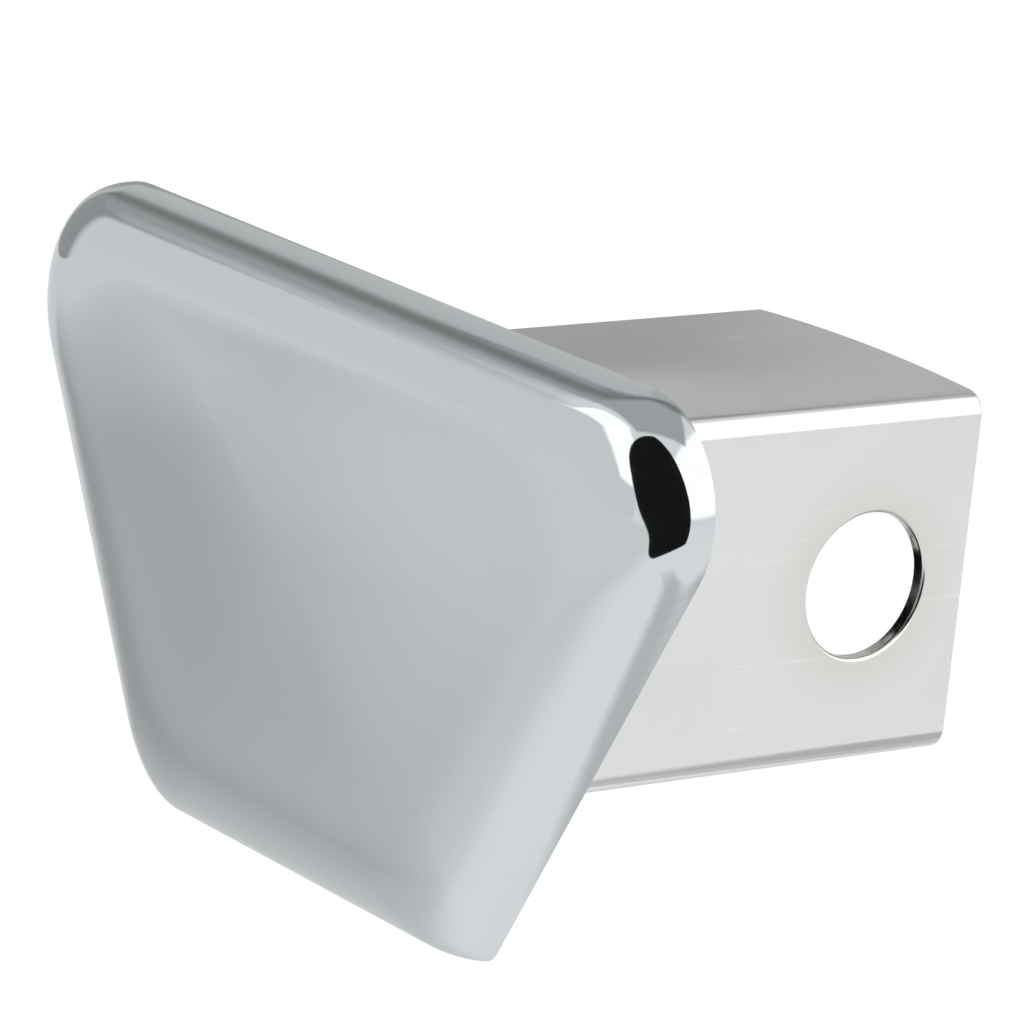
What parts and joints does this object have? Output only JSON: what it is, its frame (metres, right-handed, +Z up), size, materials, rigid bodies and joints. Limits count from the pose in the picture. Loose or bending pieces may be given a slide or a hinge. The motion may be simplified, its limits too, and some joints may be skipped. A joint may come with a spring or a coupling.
{
  "type": "hitch receiver cover",
  "caption": "Chrome steel cover that plugs a small square tow-bar receiver: a trapezoid face pan with rolled edges, welded on an open square tube that a hitch pin passes through.",
  "frame": {"origin": "middle of the pin bore, on the tube's axis", "axes": "+X along the pin bore to the right seen from the front, +Y to the rear along the tube, +Z up; the face looks to -Y"},
  "size_m": [0.0882, 0.0594, 0.0516],
  "materials": {
    "face_chrome": "mirror-polished chrome plating",
    "tube_plating": "bright plating over brushed sheet",
    "weld_metal": "plated weld"
  },
  "bodies": {
    "root": {"face_shell": "face_chrome", "shank_tube": "tube_plating", "weld_beads": "weld_metal"}
  },
  "joints": []
}
